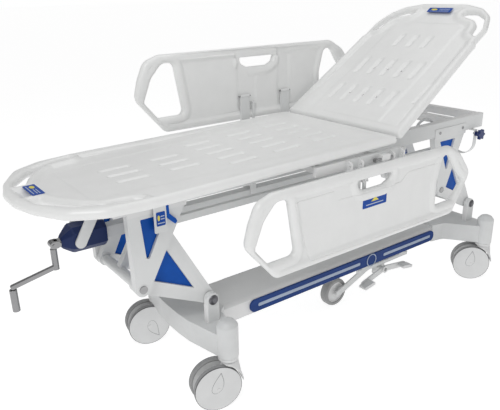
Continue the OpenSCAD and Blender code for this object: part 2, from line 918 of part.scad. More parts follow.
// Plunger that slides through the clevis ear into the raised arm, drawn pulled out
module rail_latch(side) {
    color("silver")
        on_side(side, 0) {
            rod_x(-pivot_y, latch_z, 4, latch_tip - 76, latch_tip);
            rod_x(-pivot_y, latch_z, 7.5, latch_tip - 84, latch_tip - 76);
        }
}

base_chassis();
base_spine_cover();
base_end_covers();
castor_sockets();
bumper_strips();
bumper_inlays();
lift_lugs();
lug_pins();
pedal_bracket();
fifth_wheel_arm();
fifth_wheel();
rocker_pedal();
castor_fork(foot_x, -castor_y, turn_foot_left);  // castor_fork_foot_left
castor_wheel(foot_x, -castor_y, turn_foot_left);  // castor_wheel_foot_left
castor_tyre(foot_x, -castor_y, turn_foot_left);  // castor_tyre_foot_left
castor_fork(foot_x, castor_y, turn_foot_right);  // castor_fork_foot_right
castor_wheel(foot_x, castor_y, turn_foot_right);  // castor_wheel_foot_right
castor_tyre(foot_x, castor_y, turn_foot_right);  // castor_tyre_foot_right
castor_fork(head_x, -castor_y, turn_head_left);  // castor_fork_head_left
castor_wheel(head_x, -castor_y, turn_head_left);  // castor_wheel_head_left
castor_tyre(head_x, -castor_y, turn_head_left);  // castor_tyre_head_left
castor_fork(head_x, castor_y, turn_head_right);  // castor_fork_head_right
castor_wheel(head_x, castor_y, turn_head_right);  // castor_wheel_head_right
castor_tyre(head_x, castor_y, turn_head_right);  // castor_tyre_head_right
crank_frame(lower_foot, upper_foot);  // crank_frame_foot
crank_inset(lower_foot, upper_foot);  // crank_inset_foot
crank_frame(lower_head, upper_head);  // crank_frame_head
crank_inset(lower_head, upper_head);  // crank_inset_head
sync_bars();
frame_rails();
frame_crossmembers();
upper_legs();
leg_insets();
gearbox_housing();
gearbox_hangers();
screw_casing();
release_cable();
bottle_hoop();
deck_panel();
frame_bolts();
rail_mounts();
lift_screw();
crank_fork();
crank_handle();
crank_grip();
lift_nut();
hoop_knob();
backrest_panel();
backrest_lever();
gas_rod();
gas_cylinder();
side_rail(-1, false);  // side_rail_left
side_rail(1, true);  // side_rail_right
rail_arms(-1, false);  // rail_arms_left
rail_arms(1, true);  // rail_arms_right
rail_link(-1, false);  // rail_link_left
rail_link(1, true);  // rail_link_right
rail_latch(-1);  // rail_latch_left
rail_latch(1);  // rail_latch_right
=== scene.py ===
"""Looks of a hospital stretcher trolley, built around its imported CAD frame.

Lengths in the shape functions are millimetres in the CAD frame, and become metres
when a mesh is made."""
import json
import math

import bmesh
import bpy
import numpy as np
from mathutils import Matrix, Vector
from mathutils.geometry import delaunay_2d_cdt, tessellate_polygon

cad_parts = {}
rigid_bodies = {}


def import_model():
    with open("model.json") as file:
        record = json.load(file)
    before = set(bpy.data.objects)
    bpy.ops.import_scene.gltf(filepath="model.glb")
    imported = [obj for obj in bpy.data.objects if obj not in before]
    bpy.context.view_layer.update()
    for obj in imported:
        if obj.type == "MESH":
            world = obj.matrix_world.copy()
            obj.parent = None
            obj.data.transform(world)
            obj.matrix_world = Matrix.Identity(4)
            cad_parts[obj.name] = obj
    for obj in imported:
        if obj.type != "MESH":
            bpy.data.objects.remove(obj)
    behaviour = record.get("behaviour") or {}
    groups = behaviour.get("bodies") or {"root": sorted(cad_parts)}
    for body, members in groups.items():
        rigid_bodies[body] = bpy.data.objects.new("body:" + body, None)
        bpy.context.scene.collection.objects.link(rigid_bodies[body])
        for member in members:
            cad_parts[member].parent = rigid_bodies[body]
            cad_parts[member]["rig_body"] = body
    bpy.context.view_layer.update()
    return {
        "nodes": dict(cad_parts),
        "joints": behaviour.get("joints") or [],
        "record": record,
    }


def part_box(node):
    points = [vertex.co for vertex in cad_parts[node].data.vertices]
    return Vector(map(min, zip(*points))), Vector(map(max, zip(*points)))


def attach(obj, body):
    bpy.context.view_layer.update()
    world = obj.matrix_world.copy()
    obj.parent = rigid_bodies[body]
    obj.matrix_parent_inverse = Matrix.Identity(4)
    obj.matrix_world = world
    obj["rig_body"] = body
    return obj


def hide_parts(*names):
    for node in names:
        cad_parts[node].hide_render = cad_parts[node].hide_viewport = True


MM = 0.001
SIDES = (-1, 1)
SIDE_NAMES = {-1: "left", 1: "right"}

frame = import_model()
slots = {part["node"]: part["material_slot"] for part in frame["record"]["subparts"]}
joints = {joint["name"]: joint for joint in frame["joints"]}


def joint_mm(name):
    """Where a joint sits at rest."""
    return [round(c / MM, 3) for c in joints[name]["pos_m"]]


# lying surface
HINGE_X, _, HINGE_Z = joint_mm("backrest_tilt")
BACK_ANGLE = math.radians(34)
DECK_TOP, DECK_T = 748.0, 28.0
# side rails: the left one is lowered and the right one raised by RAIL_LIFT
RAIL_INNER, RAIL_T = 286.0, 32.0
_, RAIL_PIN_Y, RAIL_PIN_Z = joint_mm("rail_level_right")
LOW_PIN_Z = joint_mm("rail_level_left")[2]
RAIL_LIFT = RAIL_PIN_Z - LOW_PIN_Z
ARM_XS = (38.0, 232.0)
LINK_X = joint_mm("link_swing_left")[0]
# castors
CORNERS = ("foot_left", "foot_right", "head_left", "head_right")
CASTOR_TRAIL = 45.0
AXLE_Z = joint_mm("roll_foot_left")[2]


# ---------- camera, floor and light ----------

def camera():
    """The view down and across from the near foot corner."""
    data = bpy.data.cameras.new("camera")
    data.lens, data.sensor_width = 41.64, 36.0
    cam = bpy.data.objects.new("camera", data)
    place = (-1.23057, -1.46682, 1.200)
    right = Vector((0.80276, -0.59601, -0.01881))
    up = Vector((0.22253, 0.27015, 0.93675))
    back = Vector((-0.55323, -0.75617, 0.34949))
    turn = Matrix((right, up, back)).transposed().to_4x4()
    cam.matrix_world = Matrix.Translation(place) @ turn
    bpy.context.scene.collection.objects.link(cam)
    bpy.context.scene.camera = cam
    bpy.context.scene.view_settings.view_transform = "Standard"


def area_light(name, place, target, size, power):
    """A round lamp at place, turned to target; lengths in metres and power in watts."""
    data = bpy.data.lights.new(name, "AREA")
    data.shape, data.size, data.energy = "DISK", size, power
    lamp = bpy.data.objects.new(name, data)
    away = Vector(place) - Vector(target)
    turn = away.to_track_quat("Z", "Y").to_matrix().to_4x4()
    lamp.matrix_world = Matrix.Translation(place) @ turn
    bpy.context.scene.collection.objects.link(lamp)


def backdrop():
    """A white sky to the camera that lights the object only softly."""
    world = bpy.data.worlds.new("world")
    bpy.context.scene.world = world
    world.use_nodes = True
    tree = world.node_tree
    soft = tree.nodes["Background"]
    white = tree.nodes.new("ShaderNodeBackground")
    for shader, strength in ((soft, 0.37), (white, 1.0)):
        shader.inputs["Color"].default_value = (1.0, 1.0, 1.0, 1.0)
        shader.inputs["Strength"].default_value = strength
    seen = tree.nodes.new("ShaderNodeLightPath")
    mix = tree.nodes.new("ShaderNodeMixShader")
    tree.links.new(seen.outputs["Is Camera Ray"], mix.inputs["Fac"])
    tree.links.new(soft.outputs["Background"], mix.inputs[1])
    tree.links.new(white.outputs["Background"], mix.inputs[2])
    tree.links.new(mix.outputs["Shader"], tree.nodes["World Output"].inputs["Surface"])


def floor():
    """A wide floor that glows just enough to meet the white sky."""
    half = 60.0
    mesh = bpy.data.meshes.new("floor")
    mesh.from_pydata([(-half, -half, 0), (half, -half, 0), (half, half, 0), (-half, half, 0)],
                     [], [(0, 1, 2, 3)])
    ground = bpy.data.objects.new("floor", mesh)
    mat = bpy.data.materials.new("floor")
    mat.use_nodes = True
    shader = mat.node_tree.nodes["Principled BSDF"]
    for socket, value in (("Base Color", (0.34, 0.34, 0.34, 1)), ("Roughness", 0.9),
                          ("Emission Color", (1, 1, 1, 1)), ("Emission Strength", 0.84)):
        shader.inputs[socket].default_value = value
    mesh.materials.append(mat)
    bpy.context.scene.collection.objects.link(ground)


def studio():
    """Soft light from the left and above."""
    backdrop()
    area_light("key", (-2.2, -1.6, 3.2), (0, 0, 0.5), 1.6, 46)
    area_light("top", (0.6, 0.4, 3.4), (0, 0, 0.5), 2.4, 20)
    area_light("side", (2.6, -2.4, 1.6), (0.2, 0, 0.4), 1.6, 4)
    floor()


# ---------- materials ----------

COAT_ROUGHNESS = 0.15
DRIFT = (0.32, 0.68)  # noise levels between which the colour goes from dark to light
WORN_EDGE = (0.53, 0.62)  # pointiness where rubbing starts, and where it is full
GLOSS_SWING = 0.07
GRAIN_DEPTH = 0.0004  # metres


def finish(name, colour, rough, metallic=0.0, vary=0.05, scale=18.0, grain=900.0, bump=0.12,
           coat=0.0, worn=None, streak=None, shine=0.5):
    """A procedural finish: colour drifts slowly, fine grain moves roughness and bump,
    and worn gives the tone that edges rub towards."""
    mat = bpy.data.materials.new(name)
    mat.use_nodes = True
    tree = mat.node_tree
    shader = tree.nodes["Principled BSDF"]
    shader.inputs["Metallic"].default_value = metallic
    shader.inputs["Coat Weight"].default_value = coat
    shader.inputs["Coat Roughness"].default_value = COAT_ROUGHNESS
    shader.inputs["Specular IOR Level"].default_value = shine

    def node(kind, **values):
        made = tree.nodes.new(kind)
        for key, value in values.items():
            if hasattr(made, key):
                setattr(made, key, value)
            else:
                made.inputs[key].default_value = value
        return made

    def join(source, out, target, into):
        tree.links.new(source.outputs[out], target.inputs[into])

    where = node("ShaderNodeTexCoord")
    stretch = node("ShaderNodeMapping")
    join(where, "Object", stretch, "Vector")
    if streak:
        stretch.inputs["Scale"].default_value = streak
    slow = node("ShaderNodeTexNoise", Scale=scale, Detail=4.0, Roughness=0.55)
    fine = node("ShaderNodeTexNoise", Scale=grain, Detail=3.0, Roughness=0.6)
    join(stretch, "Vector", slow, "Vector")
    join(stretch, "Vector", fine, "Vector")
    dark = tuple(c * (1 - vary) for c in colour) + (1,)
    light = tuple(min(1, c * (1 + vary)) for c in colour) + (1,)
    ramp = node("ShaderNodeValToRGB")
    for stop, position, tone in zip(ramp.color_ramp.elements, DRIFT, (dark, light)):
        stop.position, stop.color = position, tone
    join(slow, "Fac", ramp, "Fac")
    tint = ramp
    if worn:
        shape = node("ShaderNodeNewGeometry")
        edge = node("ShaderNodeMapRange")
        edge.inputs["From Min"].default_value = WORN_EDGE[0]
        edge.inputs["From Max"].default_value = WORN_EDGE[1]
        join(shape, "Pointiness", edge, "Value")
        blend = node("ShaderNodeMixRGB", blend_type="MIX")
        join(edge, "Result", blend, "Fac")
        join(ramp, "Color", blend, "Color1")
        blend.inputs["Color2"].default_value = worn + (1,)
        tint = blend
    join(tint, "Color", shader, "Base Color")
    gloss = node("ShaderNodeMapRange")
    gloss.inputs["To Min"].default_value = max(0.02, rough - GLOSS_SWING)
    gloss.inputs["To Max"].default_value = min(1.0, rough + GLOSS_SWING)
    join(fine, "Fac", gloss, "Value")
    join(gloss, "Result", shader, "Roughness")
    relief = node("ShaderNodeBump")
    relief.inputs["Strength"].default_value = bump
    relief.inputs["Distance"].default_value = GRAIN_DEPTH
    join(fine, "Fac", relief, "Height")
    join(relief, "Normal", shader, "Normal")
    return mat


LOOKS = {
    "shell_plastic": dict(colour=(0.80, 0.805, 0.80), rough=0.34, vary=0.015, bump=0.10,
                          worn=(0.84, 0.84, 0.84)),
    "painted_frame": dict(colour=(0.70, 0.71, 0.71), rough=0.36, vary=0.02, grain=1500, bump=0.16,
                          worn=(0.76, 0.76, 0.76)),
    "cover_plastic": dict(colour=(0.66, 0.67, 0.67), rough=0.42, vary=0.03, grain=1100, bump=0.16,
                          worn=(0.76, 0.76, 0.76)),
    "blue_panel": dict(colour=(0.003, 0.080, 0.40), rough=0.42, vary=0.10, bump=0.10,
                       worn=(0.03, 0.13, 0.48), shine=0.15),
    "bumper_plastic": dict(colour=(0.007, 0.040, 0.19), rough=0.5, vary=0.12, bump=0.2,
                           worn=(0.04, 0.08, 0.26), shine=0.2),
    "inlay": dict(colour=(0.36, 0.43, 0.55), rough=0.3, vary=0.05, worn=(0.5, 0.56, 0.66)),
    "castor_plastic": dict(colour=(0.70, 0.705, 0.705), rough=0.36, vary=0.03,
                           worn=(0.76, 0.76, 0.76)),
    "tyre": dict(colour=(0.30, 0.303, 0.306), rough=0.62, vary=0.12, grain=1300, bump=0.35,
                 worn=(0.38, 0.38, 0.38)),
    "steel": dict(colour=(0.36, 0.36, 0.365), rough=0.36, metallic=1.0, vary=0.08, scale=30,
                  streak=(1, 1, 9)),
    "dark_steel": dict(colour=(0.12, 0.12, 0.13), rough=0.32, metallic=0.9, vary=0.15,
                       worn=(0.4, 0.4, 0.42)),
    "chrome": dict(colour=(0.30, 0.30, 0.305), rough=0.24, metallic=1.0, vary=0.05, bump=0.04),
    "gearbox_paint": dict(colour=(0.006, 0.018, 0.085), rough=0.4, vary=0.15, bump=0.2,
                          worn=(0.02, 0.035, 0.11), shine=0.2),
    "navy_plastic": dict(colour=(0.008, 0.022, 0.12), rough=0.35, vary=0.12, bump=0.15,
                         worn=(0.02, 0.04, 0.15)),
    "brass": dict(colour=(0.55, 0.38, 0.14), rough=0.3, metallic=1.0, vary=0.12),
    "cable_sheath": dict(colour=(0.62, 0.63, 0.64), rough=0.4, vary=0.06, worn=(0.7, 0.7, 0.7)),
    "gas_body": dict(colour=(0.42, 0.43, 0.45), rough=0.35, vary=0.06, worn=(0.6, 0.6, 0.6)),
    "label": dict(colour=(0.002, 0.060, 0.34), rough=0.34, vary=0.06, bump=0.03, shine=0.2),
    "label_mark": dict(colour=(0.72, 0.62, 0.06), rough=0.3, vary=0.06, bump=0.03, coat=0.4),
    "line_grey": dict(colour=(0.12, 0.123, 0.126), rough=0.5, vary=0.1, bump=0.1),
    "seam_grey": dict(colour=(0.25, 0.255, 0.26), rough=0.5, vary=0.06, bump=0.1),
}
FINISHES = {name: finish(name, **look) for name, look in LOOKS.items()}


# ---------- making meshes ----------

WELD = 0.002  # points closer than this are one
BATCH = 4000  # points measured at a time
EDGE_RADIUS = 15.0  # of every moulded panel
MARK_ROWS = (-3.2, -1.9, 0, 1.9, 3.2)  # rows of points that follow an engraved line
MARK_STEP = 7.0


def body_of(node):
    """The moving body that a CAD node belongs to."""
    return frame["nodes"][node]["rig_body"]


def piece(name, verts, faces, body, slot, sharp=38.0, mat=None, replaces=()):
    """One visual piece from vertices in millimetres; sharp is the angle that stays an edge."""
    mesh = bpy.data.meshes.new(name)
    mesh.from_pydata([tuple(c * MM for c in v) for v in verts], [], faces)
    mesh.validate()
    made = bpy.data.objects.new(name, mesh)
    bpy.context.scene.collection.objects.link(made)
    work = bmesh.new()
    work.from_mesh(mesh)
    bmesh.ops.remove_doubles(work, verts=work.verts, dist=WELD * MM)
    bmesh.ops.recalc_face_normals(work, faces=work.faces)
    work.to_mesh(mesh)
    work.free()
    mesh.materials.append(FINISHES[mat or slot])
    for face in mesh.polygons:
        face.use_smooth = True
    mesh.set_sharp_from_angle(angle=math.radians(sharp))
    weighted = made.modifiers.new("weighted", "WEIGHTED_NORMAL")
    weighted.keep_sharp = True
    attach(made, body)
    for node in replaces:
        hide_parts(node)
    return made


def shift_loop(loop, d):
    """Moves a closed loop sideways by d, to its left, with mitred corners."""
    pts = np.array(loop, float)
    ahead = np.roll(pts, -1, 0) - pts
    ahead /= np.maximum(np.linalg.norm(ahead, axis=1, keepdims=True), 1e-9)
    left = np.stack([-ahead[:, 1], ahead[:, 0]], 1)
    before = np.roll(left, 1, 0)
    total = 1 + (left * before).sum(1, keepdims=True)
    return pts + d * (left + before) / np.maximum(total, 0.35)


def signed_area(loop):
    """Positive where the loop runs anticlockwise."""
    pts = np.array(loop, float)
    nxt = np.roll(pts, -1, 0)
    return 0.5 * float((pts[:, 0] * nxt[:, 1] - nxt[:, 0] * pts[:, 1]).sum())


def wound(loop, left):
    """The loop, turned so that its area is positive where left is true."""
    return list(loop) if (signed_area(loop) > 0) == left else list(loop)[::-1]


def rounded(corners, steps=7):
    """A closed loop from [x, y, radius] corners."""
    pts, n = [], len(corners)
    for i in range(n):
        a, b, c = (np.array(corners[(i + k - 1) % n][:2], float) for k in range(3))
        r = corners[i][2]
        u, v = (a - b) / np.linalg.norm(a - b), (c - b) / np.linalg.norm(c - b)
        half = math.acos(max(-1, min(1, float(u @ v)))) / 2
        if r <= 0 or half > 1.55:
            pts.append(tuple(b))
            continue
        reach = r / math.tan(half)
        middle = b + (u + v) / np.linalg.norm(u + v) * (r / math.sin(half))
        p, q = b + u * reach - middle, b + v * reach - middle
        start, sweep = math.atan2(p[1], p[0]), math.pi - 2 * half
        if p[0] * q[1] - p[1] * q[0] < 0:
            sweep = -sweep
        pts += [tuple(middle + r * np.array([math.cos(start + sweep * k / steps),
                                             math.sin(start + sweep * k / steps)]))
                for k in range(steps + 1)]
    return pts


def mirrored(half):
    """A loop's corners from those of one half, tip last."""
    return list(half) + [[x, -y, r] for x, y, r in reversed(half)]


def edge_distance(pts, loops):
    """Distance of each point to the nearest loop."""
    pts = np.asarray(pts, float)
    best = np.full(len(pts), 1e9)
    for loop in loops:
        a = np.array(loop, float)
        ab = np.roll(a, -1, 0) - a
        size = np.maximum((ab ** 2).sum(1), 1e-12)
        for k in range(0, len(pts), BATCH):
            gap = pts[k:k + BATCH, None, :] - a[None]
            along = np.clip((gap * ab).sum(2) / size, 0, 1)
            far = gap - along[..., None] * ab
            near = np.sqrt((far ** 2).sum(2)).min(1)
            best[k:k + BATCH] = np.minimum(best[k:k + BATCH], near)
    return best


def inside(pts, loops):
    """Which points lie inside the loops, taken together by the even-odd rule."""
    pts = np.asarray(pts, float)
    hit = np.zeros(len(pts), bool)
    for loop in loops:
        a = np.array(loop, float)
        b = np.roll(a, -1, 0)
        for k in range(0, len(pts), BATCH):
            x, y = pts[k:k + BATCH, 0, None], pts[k:k + BATCH, 1, None]
            spans = (a[:, 1] > y) != (b[:, 1] > y)
            rise = np.where(b[:, 1] == a[:, 1], 1.0, b[:, 1] - a[:, 1])
            cross = a[:, 0] + (y - a[:, 1]) * (b[:, 0] - a[:, 0]) / rise
            hit[k:k + BATCH] ^= ((spans & (x < cross)).sum(1) % 2).astype(bool)
    return hit


def line_gap(x, y, path):
    """Distance of each point to a path of straight lines."""
    pts = np.stack([x, y], 1)
    best = np.full(len(pts), 1e9)
    for a, b in zip(path, path[1:]):
        a, b = np.array(a, float), np.array(b, float)
        along = np.clip(((pts - a) @ (b - a)) / ((b - a) @ (b - a)), 0, 1)[:, None]
        best = np.minimum(best, np.linalg.norm(pts - a - along * (b - a), axis=1))
    return best


def beside(path, d):
    """An open path moved sideways by d, with points about MARK_STEP apart."""
    pts = []
    for a, b in zip(path, path[1:]):
        n = max(1, int(math.dist(a, b) / MARK_STEP))
        pts += [(a[0] + (b[0] - a[0]) * k / n, a[1] + (b[1] - a[1]) * k / n) for k in range(n)]
    pts = np.array(pts + [path[-1]], float)
    way = np.diff(pts, axis=0)
    way /= np.linalg.norm(way, axis=1, keepdims=True)
    left = np.stack([-way[:, 1], way[:, 0]], 1)
    first, last = np.vstack([left[:1], left]), np.vstack([left, left[-1:]])
    return pts + d * (first + last) / (1 + (first * last).sum(1, keepdims=True))


def sheet_mesh(loops, rings, pitch, holes=(), marks=()):
    """Triangles over an outline with openings: rings of points follow every edge, rows of
    points follow every mark, and a grid fills the rest. Returns points, distances to the
    edge, and triangles."""
    verts, edges = [], []

    def run(pts, closed):
        first, n = len(verts), len(pts)
        verts.extend(tuple(p) for p in pts)
        edges.extend((first + i, first + (i + 1) % n) for i in range(n if closed else n - 1))

    for path in marks:
        for d in MARK_ROWS:
            run(beside(path, d), False)
    for loop in loops:
        for ring in rings:
            run(shift_loop(loop, ring), True)
    for hole in holes:
        run(hole, True)
    low, high = np.min(loops[0], 0), np.max(loops[0], 0)
    gx, gy = np.meshgrid(np.arange(low[0], high[0], pitch), np.arange(low[1], high[1], pitch))
    grid = np.stack([gx.ravel(), gy.ravel()], 1)
    keep = inside(grid, loops) & (edge_distance(grid, loops) > rings[-1] + 0.45 * pitch)
    if holes:
        keep &= inside(grid, loops + holes) & (edge_distance(grid, holes) > 0.5 * pitch)
    for path in marks:
        keep &= line_gap(grid[:, 0], grid[:, 1], path) > MARK_ROWS[-1] + 0.35 * pitch
    verts += [tuple(p) for p in grid[keep]]
    out = delaunay_2d_cdt([Vector(v) for v in verts], edges, [], 0, 1e-5)
    pts = np.array([tuple(v) for v in out[0]])
    tris = np.array([f for f in out[2] if len(f) == 3])
    tris = tris[inside(pts[tris].mean(1), loops + list(holes))]
    used = np.unique(tris)
    index = np.full(len(pts), -1)
    index[used] = np.arange(len(used))
    return pts[used], edge_distance(pts[used], loops), index[tris]


def moulded(name, loops, top, bottom, place, body, slot, replaces, pitch, coarse, holes=(),
            marks=()):
    """A moulded slab: top and bottom give heights from (x, y, edge distance), and place
    turns (x, y, height) into the CAD frame. The bottom's grid is coarse apart, and only
    the top has marks."""
    loops = [wound(loops[0], True)] + [wound(loop, False) for loop in loops[1:]]
    rings = [EDGE_RADIUS * (1 - math.cos(math.radians(a))) for a in (0, 14, 28, 42, 56, 72, 90)]
    rings += [EDGE_RADIUS * out for out in (1.35, 1.7, 2.1)]
    holes = [wound(hole, False) for hole in holes]
    verts, faces = [], []

    def raise_points(pts, d, height):
        heights = height(pts[:, 0], pts[:, 1], d)
        verts.extend(place(p[0], p[1], h) for p, h in zip(pts, heights))

    for hole in holes:
        pts = np.array(hole)
        first, n = len(verts), len(hole)
        for height in (top, bottom):
            raise_points(pts, edge_distance(pts, loops), height)
        faces += [(first + i, first + (i + 1) % n, first + n + (i + 1) % n, first + n + i)
                  for i in range(n)]
    for height, step, lines, flip in ((top, pitch, marks, False), (bottom, coarse, (), True)):
        pts, d, tris = sheet_mesh(loops, rings, step, holes, lines)
        d[d < 1e-3] = 0
        first = len(verts)
        raise_points(pts, d, height)
        faces += [tuple(int(first + i) for i in (t[::-1] if flip else t)) for t in tris]
    return piece(name, verts, faces, body, slot, sharp=50, replaces=replaces)


def round_edge(d, radius):
    """How far a half-round edge has fallen at distance d from the outline."""
    t = np.clip(1 - d / radius, 0, 1)
    return radius * (1 - np.sqrt(np.clip(1 - t * t, 0, 1)))


def smooth(low, high, value):
    """0 at low and 1 at high, with an easy start and end; low may be the larger."""
    t = np.clip((value - low) / (high - low), 0, 1)
    return t * t * (3 - 2 * t)


def trough(x, y, x0, x1, yc, radius, depth):
    """A groove with round ends from x0 to x1 along y = yc."""
    cx = np.clip(x, x0 + radius, x1 - radius)
    gap = np.hypot(x - cx, y - yc)
    return depth * (1 - smooth(radius * 0.45, radius, gap))


def turned(profile, spot, count):
    """A profile of (radius, along) points swept once round, where spot(radius, along,
    angle) gives a place."""
    n = len(profile)
    verts = [spot(r, h, 2 * math.pi * k / count) for k in range(count) for r, h in profile]
    faces = [(k * n + j, (k + 1) % count * n + j, (k + 1) % count * n + j + 1, k * n + j + 1)
             for k in range(count) for j in range(n - 1)]
    return verts, faces


def lathe(name, profile, centre, axis, body, slot, count=64, **kw):
    """Turns a profile of (radius, along) points round an axis through centre."""
    start = "XYZ".index(axis)
    w, u, v = (np.roll(np.eye(3)[0], start + k) for k in range(3))
    centre = np.array(centre, float)

    def spot(r, h, a):
        return tuple(centre + (u * math.cos(a) + v * math.sin(a)) * r + w * h)

    return piece(name, *turned(profile, spot, count), body, slot, **kw)


def sections(name, rows, body, slot, **kw):
    """A closed skin through rows of the same number of points, first and last capped."""
    n = len(rows[0])
    verts = [p for row in rows for p in row]
    faces = [(i * n + k, i * n + (k + 1) % n, (i + 1) * n + (k + 1) % n, (i + 1) * n + k)
             for i in range(len(rows) - 1) for k in range(n)]
    faces += [tuple(range(n)), tuple(range((len(rows) - 1) * n, len(rows) * n))]
    return piece(name, verts, faces, body, slot, **kw)


def tube(name, path, radius, body, slot, closed=False, sides=14, **kw):
    """A round tube along a path of points, with flat ends where it is open."""
    pts = [np.array(p, float) for p in path]
    n = len(pts)
    verts, faces = [], []
    side = None
    for i, p in enumerate(pts):
        before = pts[(i - 1) % n] if closed or i else p
        after = pts[(i + 1) % n] if closed or i < n - 1 else p
        way = after - before
        way /= np.linalg.norm(way)
        if side is None:
            side = np.cross(way, (0.31, 0.52, 0.79))
        side = side - way * (side @ way)
        side /= np.linalg.norm(side)
        other = np.cross(way, side)
        verts += [tuple(p + radius * (side * math.cos(2 * math.pi * k / sides)
                                      + other * math.sin(2 * math.pi * k / sides)))
                  for k in range(sides)]
    for i in range(n if closed else n - 1):
        a, b = i * sides, ((i + 1) % n) * sides
        faces += [(a + k, a + (k + 1) % sides, b + (k + 1) % sides, b + k) for k in range(sides)]
    if not closed:
        faces += [tuple(range(sides))[::-1], tuple(range((n - 1) * sides, n * sides))]
    return piece(name, verts, faces, body, slot, **kw)


# ---------- softened copies of CAD nodes ----------

PLANE_GAP = 0.002  # how far from a plane a point may be and still lie in it
HARD_EDGE = math.radians(32)
FLAT_ANGLE = math.radians(0.6)


def islands(mesh):
    """The separate closed solids of a CAD mesh, as (vertices in mm, triangles)."""
    work = bmesh.new()
    work.from_mesh(mesh)
    bmesh.ops.remove_doubles(work, verts=work.verts, dist=1e-6)
    work.verts.ensure_lookup_table()
    work.faces.ensure_lookup_table()
    seen, found = set(), []
    for start in work.faces:
        if start.index in seen:
            continue
        group, stack = [], [start]
        seen.add(start.index)
        while stack:
            face = stack.pop()
            group.append(face)
            for edge in face.edges:
                for other in edge.link_faces:
                    if other.index not in seen:
                        seen.add(other.index)
                        stack.append(other)
        ids = sorted({v.index for f in group for v in f.verts})
        index = {v: i for i, v in enumerate(ids)}
        pts = np.array([tuple(work.verts[i].co) for i in ids]) / MM
        found.append((pts, [tuple(index[v.index] for v in f.verts) for f in group]))
    work.free()
    return found


def cap_loops(pts, tris, axis, level):
    """Closed boundary loops of the faces that lie in the plane at level."""
    flat = [t for t in tris if all(abs(pts[i][axis] - level) < PLANE_GAP for i in t)]
    ahead = {}
    pairs = {(t[i], t[(i + 1) % len(t)]): True for t in flat for i in range(len(t))}
    for a, b in pairs:
        if (b, a) not in pairs:
            if a in ahead:
                return None
            ahead[a] = b
    loops = []
    while ahead:
        first, now = next(iter(ahead.items()))
        del ahead[first]
        loop = [first]
        while now != first:
            loop.append(now)
            if now not in ahead:
                return None
            now = ahead.pop(now)
        loops.append(loop)
    return loops


def as_prism(pts, tris):
    """Axis and outline loops, where a solid is a straight extrusion along X, Y or Z."""
    for axis in (1, 0, 2):
        low, high = pts[:, axis].min(), pts[:, axis].max()
        off = np.minimum(np.abs(pts[:, axis] - low), np.abs(pts[:, axis] - high))
        if (off >= PLANE_GAP).any() or high - low < 1:
            continue
        loops = cap_loops(pts, tris, axis, high)
        if not loops:
            continue
        keep = [i for i in range(3) if i != axis]
        flat = []
        for loop in loops:
            line = [pts[i][keep] for i in loop]
            clean = []
            for i in range(len(line)):
                a, b, c = line[i - 1], line[i], line[(i + 1) % len(line)]
                u, v = b - a, c - b
                turn = abs(u[0] * v[1] - u[1] * v[0])
                if turn > 1e-3 * max(np.linalg.norm(u) * np.linalg.norm(v), 1e-9):
                    clean.append(tuple(b))
            flat.append(clean)
        if min(len(loop) for loop in flat) < 3:
            continue
        flat.sort(key=lambda loop: -abs(signed_area(loop)))
        return axis, low, high, flat
    return None


def safe_radius(loops, radius):
    """The largest edge radius whose shifted loops keep their direction."""
    while radius > 0.25:
        turned_back = False
        for loop in loops:
            old, new = np.array(loop), shift_loop(loop, radius)
            u, v = np.roll(old, -1, 0) - old, np.roll(new, -1, 0) - new
            turned_back |= bool(((u * v).sum(1) <= 0).any())
        if not turned_back:
            return radius
        radius *= 0.7
    return 0.0


def round_prism(axis, low, high, loops, radius, verts, faces):
    """Adds a straight extrusion along an axis, with both ends' edges rounded."""
    loops = [wound(loops[0], True)] + [wound(loop, False) for loop in loops[1:]]
    radius = safe_radius(loops, min(radius, (high - low) * 0.45))
    keep = [i for i in range(3) if i != axis]

    def lift(p, level):
        out = [0.0, 0.0, 0.0]
        out[keep[0]], out[keep[1]], out[axis] = p[0], p[1], level
        return tuple(out)

    steps = [math.radians(a) for a in ((0, 30, 60, 90) if radius else (0,))]
    turns = [(a, 1) for a in reversed(steps)] + [(a, -1) for a in steps]
    ends = {1: [], -1: []}
    for loop in loops:
        n = len(loop)
        rows = []
        for angle, way in turns:
            moved = shift_loop(loop, radius * (1 - math.cos(angle))) if radius else np.array(loop)
            fall = radius * (1 - math.sin(angle))
            rows.append(len(verts))
            verts += [lift(p, high - fall if way > 0 else low + fall) for p in moved]
            if angle == steps[-1]:
                ends[way].append((rows[-1], [tuple(p) for p in moved]))
        for a, b in zip(rows, rows[1:]):
            faces += [(a + i, a + (i + 1) % n, b + (i + 1) % n, b + i) for i in range(n)]
    for rings in ends.values():
        index = [start + i for start, ring in rings for i in range(len(ring))]
        flat = [[Vector((p[0], p[1], 0)) for p in ring] for _, ring in rings]
        faces += [tuple(index[i] for i in t) for t in tessellate_polygon(flat)]


def soften(node, radius, mat=None):
    """A stand-in for a CAD node with its edges rounded."""
    verts, faces = [], []
    for pts, tris in islands(frame["nodes"][node].data):
        prism = as_prism(pts, tris)
        if prism:
            round_prism(*prism, radius, verts, faces)
            continue
        local = bmesh.new()
        made = [local.verts.new(p) for p in pts]
        for t in tris:
            try:
                local.faces.new([made[i] for i in t])
            except ValueError:
                pass
        bmesh.ops.recalc_face_normals(local, faces=local.faces)
        bmesh.ops.dissolve_limit(local, angle_limit=FLAT_ANGLE, verts=local.verts,
                                 edges=local.edges)
        hard = [e for e in local.edges if len(e.link_faces) == 2
                and e.calc_face_angle(0) > HARD_EDGE]
        if hard:
            bmesh.ops.bevel(local, geom=hard, offset=radius * 0.7, segments=2, profile=0.6,
                            affect="EDGES", clamp_overlap=True)
        local.verts.index_update()
        first = len(verts)
        verts += [tuple(v.co) for v in local.verts]
        faces += [tuple(first + v.index for v in f.verts) for f in local.faces]
        local.free()
    return piece(node + "_form", verts, faces, body_of(node), slots[node], mat=mat,
                 replaces=[node])


# ---------- lying surface ----------

